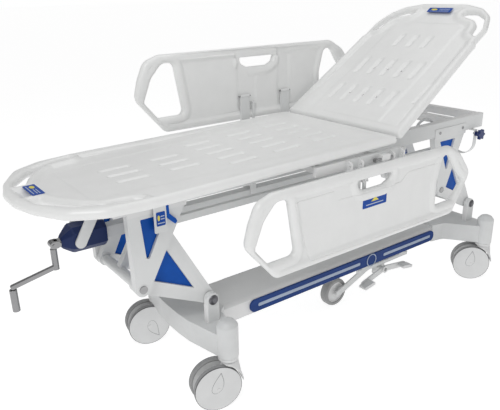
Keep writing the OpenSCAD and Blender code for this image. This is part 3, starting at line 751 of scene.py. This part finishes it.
def slots_along(x, y, rows, radius, depth):
    """Total depth of rows of grooves: each row is (from, to, distances from the middle)."""
    total = 0.0
    for x0, x1, ys in rows:
        for yc in ys:
            for s in ((1,) if yc == 0 else SIDES):
                total = total + trough(x, y, x0, x1, s * yc, radius, depth)
    return total


def deck_panel():
    """The fixed part of the surface, its rim sinking a little towards the foot."""
    outline = rounded(mirrored([[HINGE_X - 5, 280, 8], [-650, 277, 90], [-760, 262, 90],
                                [-842, 214, 70], [-893, 120, 90], [-914, 40, 90]]))
    grips = [rounded([[-880, s * 62, 8], [-866, s * 112, 60], [-800, s * 196, 70],
                      [-700, s * 240, 30], [-650, s * 248, 5], [-672, s * 226, 16],
                      [-748, s * 214, 40], [-792, s * 172, 50], [-830, s * 114, 50],
                      [-850, s * 66, 9]]) for s in SIDES]
    rows = [(-645, (0, 62)), (-482, (0, 62)), (-320, (0, 64, 128)), (-155, (0, 64, 128)),
            (5, (0, 64, 128))]
    slot_length, slot_radius, slot_depth = 102, 10, 4.5
    dish_depth, border_depth, seam_depth, wall = 11.0, 1.6, 2.5, 7.0
    lowest_floor = 712.5  # above the side rails of the frame

    def sink(x):
        return 20.0 * np.clip((HINGE_X - x) / 1140, 0, 1)

    def top(x, y, d):
        z = DECK_TOP - sink(x) - round_edge(d, EDGE_RADIUS)
        z = z - dish_depth * smooth(200, -420, x) * smooth(17, 40, d)
        border = np.maximum.reduce([-755 - x, np.abs(y) - 152 - 0.06 * (x + 755), x - 205])
        z = z - border_depth * (1 - smooth(-5, 1, border)) * smooth(17, 30, d)
        z = z - slots_along(x, y, [(x0, x0 + slot_length, ys) for x0, ys in rows], slot_radius,
                            slot_depth)
        for s in SIDES:
            z = z - trough(x, y, -690, -560, s * 236, 6, 3.0)
        return z - seam_depth * (1 - smooth(0.6, 2.2, np.abs(x - 212))) * smooth(14, 26, d)

    def bottom(x, y, d):
        z = DECK_TOP - DECK_T - sink(x) + round_edge(d, 13)
        ceiling = np.maximum(top(x, y, d + 40) - wall, lowest_floor)
        return z + smooth(16, 40, d) * np.maximum(ceiling - z, 0)

    moulded("deck_panel_form", [outline] + grips, top, bottom, lambda x, y, z: (x, y, z),
            "upper_frame", "shell_plastic", ["deck_panel"], 5.0, 16)


def on_back(u, y, n):
    """From the backrest's slope, side and height above the hinge line to the CAD frame."""
    c, s = math.cos(BACK_ANGLE), math.sin(BACK_ANGLE)
    return (HINGE_X + u * c - n * s, y, HINGE_Z + u * s + n * c)


def backrest_panel():
    """The hinged part of the surface, drawn as if flat and then tilted."""
    outline = rounded(mirrored([[5, 280, 8], [440, 263, 20], [474, 264, 6], [482, 256, 6],
                                [560, 257, 60], [632, 226, 60], [672, 176, 50], [694, 100, 60]]))
    grips = [rounded([[645, s * 104, 8], [648, s * 160, 40], [616, s * 214, 50],
                      [560, s * 238, 30], [512, s * 242, 5], [528, s * 214, 16],
                      [575, s * 206, 30], [602, s * 184, 40], [622, s * 124, 8]])
             for s in SIDES]
    hole_r = 4.5
    holes = [[(u + hole_r * math.cos(t), yc + hole_r * math.sin(t))
              for t in np.linspace(0, 2 * math.pi, 17)[:-1]]
             for u in (153, 303) for yc in (-65, 0, 65)]
    rows = [(430, 507, (0, 65)), (262, 362, (0, 65, 130)), (105, 200, (0, 65, 130))]
    top_n, bottom_n = 9.0, -19.0  # heights above the hinge line
    slot_radius, slot_depth, border_height, wall = 12, 4.5, 1.8, 8.0

    def top(u, y, d):
        n = top_n - round_edge(d, EDGE_RADIUS)
        n = n - top_n * smooth(60, 300, u) * smooth(17, 40, d)
        half = 168 - 0.02 * (u - 100)
        border = np.maximum.reduce([u - 578, np.abs(y) - half, 26 - u,
                                    (u + np.abs(y) - 715) * 0.7])
        n = n + border_height * (1 - smooth(-5, 1, border)) * smooth(20, 34, d)
        n = n - slots_along(u, y, rows, slot_radius, slot_depth)
        for s in SIDES:
            n = n - trough(u, y, 150, 260, s * 232, 6, 2.5)
        return n

    def bottom(u, y, d):
        n = bottom_n + round_edge(d, 13)
        ceiling = top(u, y, d + 9) - wall
        return n + smooth(16, 40, d) * np.maximum(ceiling - n, 0)

    moulded("backrest_panel_form", [outline] + grips, top, bottom, on_back, "backrest",
            "shell_plastic", ["backrest_panel"], 5.0, 16, holes=holes)


# ---------- side rails ----------

# engraved lines on the rails' outer faces
BORDER_LOW = ((-76, 635), (-232, 635), (-168, 438), (402, 434))
BORDER_HIGH = ((-51, 603), (228, 601), (262, 628), (447, 630))


def side_rail(side):
    """A rail in its lowered place, lifted where it is the raised one."""
    lift = RAIL_LIFT if side > 0 else 0.0
    node = "side_rail_" + SIDE_NAMES[side]
    loops = [rounded(loop) for loop in (
        [[-296, 416, 30], [524, 416, 30], [610, 548, 40], [604, 575, 40], [545, 644, 50],
         [480, 680, 60], [-305, 680, 50], [-360, 662, 45], [-388, 600, 90], [-404, 541, 40]],
        [[-370, 528, 14], [-322, 470, 16], [-222, 470, 18], [-252, 650, 22], [-296, 650, 34],
         [-338, 604, 60]],
        [[578, 532, 14], [526, 470, 16], [424, 468, 18], [420, 560, 40], [444, 650, 24],
         [482, 646, 34], [520, 590, 60]],
        [[24, 644, 5], [183, 644, 5], [176, 622, 16], [150, 609, 20], [58, 609, 20],
         [31, 622, 16]])]
    rim_radius, web_in, line_depth = 15.5, 7.0, 1.8
    channel, pocket = 10.3, 10.5  # depths that clear the arms, and their hinges and mounts
    link_pin_z = 475

    def outer(x, z, d):
        n = RAIL_T - round_edge(d, rim_radius)
        n = n - web_in * smooth(20, 36, d)
        gap = np.minimum(line_gap(x, z, BORDER_LOW), line_gap(x, z, BORDER_HIGH))
        return n - line_depth * (1 - smooth(0.3, 2.4, gap))

    def cleared(n, x, z, middle, half, pin_z, head_half, head_z):
        near = 1 - smooth(half, half + 5, np.abs(x - middle))
        head = 1 - smooth(head_half, head_half + 5, np.abs(x - middle))
        n = np.maximum(n, channel * near)
        n = np.maximum(n, pocket * near * (1 - smooth(14, 19, np.abs(z - pin_z))))
        return np.maximum(n, pocket * head * smooth(head_z, head_z + 6, z))

    def inner(x, z, d):
        n = 0.8 + round_edge(d, rim_radius)
        n = n + web_in * smooth(20, 36, d)
        for middle in ARM_XS:
            n = cleared(n, x, z, middle, 27, LOW_PIN_Z, 34, 636)
        n = cleared(n, x, z, LINK_X, 14, link_pin_z, 21, 606)
        frame_line = np.abs(np.maximum(np.abs(x - 135) - 142, 470 - z))
        return n + 1.2 * (1 - smooth(0.8, 2.4, frame_line)) * smooth(24, 32, d) * (z < 600)

    def place(x, z, n):
        return (x, side * (RAIL_INNER + n), z + lift)

    moulded(node + "_form", loops, outer, inner, place, node, "shell_plastic", [node], 6.0, 6.0,
            marks=(BORDER_LOW, BORDER_HIGH))
    radius, half = 3, 27
    rod = [(0, -half), (radius * 0.8, -half), (radius, -half + radius * 0.3),
           (radius, half - radius * 0.3), (radius * 0.8, half), (0, half)]
    for middle in ARM_XS:
        lathe(f"{node}_pin_{int(middle)}", rod, (middle, side * RAIL_PIN_Y, LOW_PIN_Z + lift),
              "X", node, "steel", count=20)


# ---------- castors ----------

WHEEL_OUT = 23.0  # from the castor's middle to the middle of each wheel half
MARK_TURN = {"foot_left": 0, "foot_right": 138, "head_left": -8, "head_right": 60}
COVER = [(5.3, -9), (44, -9), (46, -7.5), (68, -7.5), (68, 5), (73.2, 5), (73.8, 8.4),
         (72.6, 9.9), (69, 10.6), (40, 11.4), (12, 11.8), (5.3, 11.8), (5.3, -9)]
TREAD = [(68.3, -8.6), (72, -8.8), (74.2, -7), (75, -4), (75, 4), (74.9, 7.0), (74.1, 8.8),
         (73.9, 6.6), (73.4, 4.7), (68.3, 4.7), (68.3, -8.6)]
RIM_LINE = [(73.5, 9.4), (74.7, 9.0), (75, 8.2), (75, 6.6), (73.5, 6.6), (73.5, 9.4)]
AXLE = [(0, -36.4), (4.6, -36.4), (5.2, -35.8), (5.2, 35.8), (4.6, 36.4), (0, 36.4)]


def teardrop(turn):
    """A drop-shaped path on a wheel's face, as (forward, up) from the axle."""
    path = []
    for k in range(40):
        a = 2 * math.pi * k / 40
        wide = 9 * math.cos(a) + 25 * math.sin(a) * math.sin(a / 2) ** 1.3
        high = 22 + 34 * math.cos(a)
        path.append((wide * math.cos(turn) + high * math.sin(turn),
                     high * math.cos(turn) - wide * math.sin(turn)))
    return path


def cowl_rows():
    """Level outlines of the cowl, from the round swivel head down to its open foot, in the
    castor's own axes. It stays clear of the wheels by following a circle round the axle."""
    swivel_r, round_above, points = 31.5, 156, 25
    clear_r, skin_r, widest = 79.5, 85.5, 38.0

    def ahead(radius, z):
        return math.sqrt(max(0.0, radius ** 2 - (z - AXLE_Z) ** 2)) - CASTOR_TRAIL

    rows = []
    for z in (164, 160, 156, 150, 140, 128, 115, 102, 92, 86):
        if z >= round_above:
            rows.append([(swivel_r * math.cos(t), swivel_r * math.sin(t), z)
                         for t in np.radians(np.linspace(-180, 180, points + 1)[:-1])])
            continue
        x_in = max(-31.0, ahead(clear_r, z))
        x_out = min(max(swivel_r, ahead(skin_r, z)), widest)
        half = swivel_r + 4.0 * float(smooth(158, 120, z))
        power = 1.0 - 0.45 * float(smooth(158, 110, z))
        row = []
        for k in range(points):
            a = math.radians(-90 + 180 * k / (points - 1))
            bulge = math.cos(a) ** power if 0 < k < points - 1 else 0
            row.append((x_in + (x_out - x_in) * bulge,
                        half * math.copysign(abs(math.sin(a)) ** power, math.sin(a)), z))
        rows.append(row)
    return rows


def castor(corner):
    """Twin wheels with flush covers, and the cowl that hangs from the swivel."""
    x, y, _ = joint_mm("swivel_" + corner)
    axle = joints["roll_" + corner]["axis"]
    turn = math.atan2(-axle[0], axle[1])
    c, s = math.cos(turn), math.sin(turn)
    wheel, swivel = "wheel_" + corner, "swivel_" + corner

    def place(lx, ly, z):
        return (x + lx * c - ly * s, y + lx * s + ly * c, z)

    def disc(name, profile, way, slot, replaces=(), mat=None):
        def spot(r, h, a):
            return place(-CASTOR_TRAIL + r * math.cos(a), way * (WHEEL_OUT + h),
                         AXLE_Z + r * math.sin(a))
        piece(name, *turned(profile, spot, 80), wheel, slot, sharp=30, mat=mat,
              replaces=replaces)

    for way, tag in ((-1, "a"), (1, "b")):
        disc(f"castor_cover_{corner}_{tag}", COVER, way, "castor_plastic",
             ["castor_wheel_" + corner])
        disc(f"castor_tread_{corner}_{tag}", TREAD, way, "tyre", ["castor_tyre_" + corner])
        disc(f"castor_line_{corner}_{tag}", RIM_LINE, way, "tyre", mat="line_grey")
        drop = [place(-CASTOR_TRAIL + forward, way * (WHEEL_OUT + 11.2), AXLE_Z + up)
                for forward, up in teardrop(math.radians(MARK_TURN[corner]))]
        tube(f"castor_mark_{corner}_{tag}", drop, 0.8, wheel, "castor_plastic", closed=True,
             sides=6, mat="seam_grey")
    sections("castor_cowl_" + corner, [[place(*p) for p in row] for row in cowl_rows()], swivel,
             "castor_plastic", sharp=40, replaces=["castor_fork_" + corner])
    eye = 14
    arm = [(-CASTOR_TRAIL + eye * math.cos(a), AXLE_Z + eye * math.sin(a))
           for a in np.radians(np.linspace(90, 270, 13))]
    arm += [(-6, 112), (eye, 132), (eye, 150), (-18, 150)]
    verts, faces = [], []
    round_prism(1, -6, 6, [arm], 1.5, verts, faces)
    piece("castor_arm_" + corner, [place(*v) for v in verts], faces, swivel, "castor_plastic")

    def spot(r, h, a):
        return place(-CASTOR_TRAIL + r * math.cos(a), h, AXLE_Z + r * math.sin(a))

    piece("castor_axle_" + corner, *turned(AXLE, spot, 24), swivel, "castor_plastic")


# ---------- labels and small details ----------

def plate(name, outline, place, low, high, body, slot, mat=None, radius=0.3):
    """A thin plate over an outline, with place turning (a, b, height) into the CAD frame."""
    verts, faces = [], []
    round_prism(2, low, high, [outline], radius, verts, faces)
    piece(name, [place(*v) for v in verts], faces, body, slot, mat=mat)


def label(name, place, width, height, body, slot, sign):
    """A generic sticker: a dark blue card, a yellow sign and plain bars, no lettering."""
    w, h = width / 2, height / 2
    card, print_low, print_high = 0.8, 0.7, 1.1
    plate(name, rounded([[-w, -h, 3], [w, -h, 3], [w, h, 3], [-w, h, 3]], 4), place, 0, card,
          body, slot, mat="label")
    # the sign's outline and the bars (from, to, middle, thickness) as shares of the card
    if sign == "triangle":
        shape = [(-0.16, -0.02), (0.16, -0.02), (0, 0.34)]
        bars = [(-0.36, 0.36, -0.24, 0.07)]
    else:
        shape = [(-0.24 + 0.13 * math.cos(t), 0.08 + 0.20 * math.sin(t))
                 for t in np.linspace(0, 2 * math.pi, 25)[:-1]]
        bars = [(-0.02, 0.40, 0.18, 0.06), (-0.02, 0.40, -0.02, 0.06), (-0.40, 0.40, -0.30, 0.06)]
    plate(name + "_sign", [(a * width, b * height) for a, b in shape], place, print_low,
          print_high, body, slot, mat="label_mark", radius=0.1)
    for i, (left, right, middle, thick) in enumerate(bars):
        low, high = middle - thick / 2, middle + thick / 2
        bar = [(a * width, b * height)
               for a, b in ((left, low), (right, low), (right, high), (left, high))]
        plate(f"{name}_bar_{i}", bar, place, print_low, print_high, body, slot, mat="inlay",
              radius=0.1)


def labels():
    """Stickers on the deck, the backrest and both rails, each laid on its own surface."""
    rail_x, rail_z, rail_face = 106, 566, RAIL_INNER + 25
    label("foot_label", lambda a, b, h: (-848 + b, -6 - a, 728.9 + h + 0.02 * b), 92, 32,
          "upper_frame", "shell_plastic", "ellipse")
    label("back_label", lambda a, b, h: on_back(647 + b, -4 - a, 9.0 + h), 108, 26,
          "backrest", "shell_plastic", "ellipse")
    label("rail_label", lambda a, b, h: (rail_x + a, -(rail_face + h), rail_z + b), 110, 38,
          "side_rail_left", "shell_plastic", "triangle")
    label("far_rail_label",
          lambda a, b, h: (rail_x - a, rail_face + h, rail_z + RAIL_LIFT + b), 110, 38,
          "side_rail_right", "shell_plastic", "triangle")


def leg_details():
    """A tag with a sticker, and a hook, both on the outer face of the near foot leg."""
    tag_y, tag_x, tag_z = -162, (-593, -555), (588, 675)
    label("leg_label", lambda a, b, h: (-573 + a, tag_y - h, 628 + b), 27, 40, "upper_frame",
          "painted_frame", "ellipse")
    tag = rounded([[tag_x[0], tag_z[0], 4], [tag_x[1], tag_z[0], 4], [tag_x[1], tag_z[1], 3],
                   [tag_x[0], tag_z[1], 3]], 4)
    plate("leg_tag", tag, lambda a, b, h: (a, tag_y + h, b), 0, 3, "upper_frame",
          "painted_frame", radius=0.8)
    foot = rounded([[tag_x[0], tag_y, 1], [tag_x[1], tag_y, 1], [tag_x[1], -150.5, 1],
                    [tag_x[0], -150.5, 1]], 2)
    plate("leg_tag_foot", foot, lambda a, b, h: (a, b, tag_z[1] + h), -3, 0, "upper_frame",
          "painted_frame", radius=0.5)
    hook = [(-557, 664), (-544, 664), (-543, 634), (-523, 614), (-520, 606), (-527, 600),
            (-550, 622), (-554, 634)]
    plate("leg_hook", hook, lambda a, b, h: (a, -151 - h, b), 0, 6, "upper_frame", "blue_panel",
          radius=1.2)


def bumper_emblems():
    """A plain raised ring on each bumper strip."""
    ring = [(22.5, 0), (22.8, -1.6), (24.5, -2.6), (26.2, -1.6), (26.5, 0)]
    for side in SIDES:
        lathe("bumper_emblem_" + SIDE_NAMES[side], [(r, -h * side) for r, h in ring],
              (354, side * 98, 199), "Y", "base", "bumper_plastic", mat="inlay", count=48)


def gearbox():
    """An eight-sided case that tapers to the shaft at its foot end."""
    cut = 0.42  # how much of each half width the corners take
    shape = [(-1, -1 + cut), (-1 + cut, -1), (1 - cut, -1), (1, -1 + cut), (1, 1 - cut),
             (1 - cut, 1), (-1 + cut, 1), (-1, 1 - cut)]
    rows = [[(x, a * half_y, z + b * half_z) for a, b in shape]
            for x, half_y, half_z, z in (
                (-799, 13, 13, 567), (-796, 17, 17, 567), (-774, 35, 33, 570),
                (-768, 36, 36, 571), (-682, 36, 37, 571), (-676, 34, 35, 571))]
    sections("gearbox_form", rows, "upper_frame", "gearbox_paint", sharp=20,
             replaces=["gearbox_housing"])


def cable_loop():
    """The release cable's arch, kept just under the backrest when that lies flat."""
    x, y, z, reach, rise, wall_y = 590, -116, 683, 54, 42, -122
    arch = [(x + reach * math.cos(t), y, z + rise * math.sin(t))
            for t in np.radians(np.linspace(0, 180, 33))]
    path = [(x + reach, wall_y, z)] + arch + [(x - reach, wall_y, z)]
    tube("cable_arch", path, 5, "upper_frame", "cable_sheath", replaces=["release_cable"])


def end_covers():
    """Moulded end covers with thick arms that run out to the castor sockets."""
    foot = [[-336, -92, 2], [-360, -108, 24], [-384, -226, 22], [-446, -226, 22],
            [-474, -96, 16], [-478, -40, 30]]
    head = [[736, -92, 2], [800, -104, 40], [884, -226, 22], [946, -226, 22],
            [948, -96, 30], [948, -40, 30]]
    low, high, edge = 168, 243, 13
    for name, half in (("foot", foot), ("head", head)):
        verts, faces = [], []
        round_prism(2, low, high, [rounded(mirrored(half), 8)], edge, verts, faces)
        piece("end_cover_" + name, verts, faces, "base", "cover_plastic", sharp=50,
              replaces=["base_end_covers"])


def lug_caps():
    """Dark domed heads of the lift's lower pins."""
    soften("lug_pins", 1.0, mat="dark_steel")
    dome = [(16, 0), (16.2, 1.5), (15, 3.4), (12, 5.2), (7, 6.4), (0, 6.9)]
    for end, joint in (("foot", "lift"), ("head", "head_lift")):
        x, _, z = joint_mm(joint)
        for side in SIDES:
            lathe(f"lug_cap_{end}_{SIDE_NAMES[side]}", [(r, h * side) for r, h in dome],
                  (x, side * 150.2, z), "Y", "base", "dark_steel", count=40)


def fifth_wheel():
    """Tread and dished hub, sized from the CAD wheel."""
    low, high = (np.array(v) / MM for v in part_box("fifth_wheel"))
    centre, half, r = (low + high) / 2, (high[1] - low[1]) / 2, (high[2] - low[2]) / 2
    tread = [(r - 15, -half + 2), (r - 14, -half), (r - 5, -half), (r - 1.5, -half + 2.5),
             (r, -half + 7)]
    face = [(5.3, -half + 1), (12, -half + 1), (13, -half + 4), (18, -half + 6),
            (r - 20, -half + 6), (r - 18, -half + 3), (r - 15.3, -half + 3)]
    for name, side, slot, replaces in (
            ("fifth_wheel_tread", tread, "tyre", ()),
            ("fifth_wheel_hub", face, "castor_plastic", ["fifth_wheel"])):
        profile = side + [(rr, -h) for rr, h in reversed(side)] + [side[0]]
        lathe(name, profile, centre, "Y", "fifth_wheel", slot, count=72, sharp=30,
              replaces=replaces)


# ---------- everything ----------

camera()
studio()
deck_panel()
backrest_panel()
for rail_side in SIDES:
    side_rail(rail_side)
for castor_corner in CORNERS:
    castor(castor_corner)
labels()
leg_details()
bumper_emblems()
gearbox()
end_covers()
cable_loop()
lug_caps()
fifth_wheel()

custom = {"deck_panel", "backrest_panel", "side_rail_left", "side_rail_right", "fifth_wheel",
          "lug_pins", "gearbox_housing", "base_end_covers", "release_cable"}
custom |= {f"castor_{part}_{c}" for part in ("fork", "wheel", "tyre") for c in CORNERS}
edge_radii = {"upper_legs": 2.2, "crank_frame_foot": 3.5, "crank_frame_head": 3.5,
              "lift_lugs": 4.0, "frame_rails": 3.0, "frame_crossmembers": 2.5,
              "bumper_strips": 3.0, "base_spine_cover": 4.0, "castor_sockets": 4.0,
              "gearbox_hangers": 2.0}
for cad_node in frame["nodes"]:
    if cad_node not in custom:
        soften(cad_node, edge_radii.get(cad_node, 1.4))
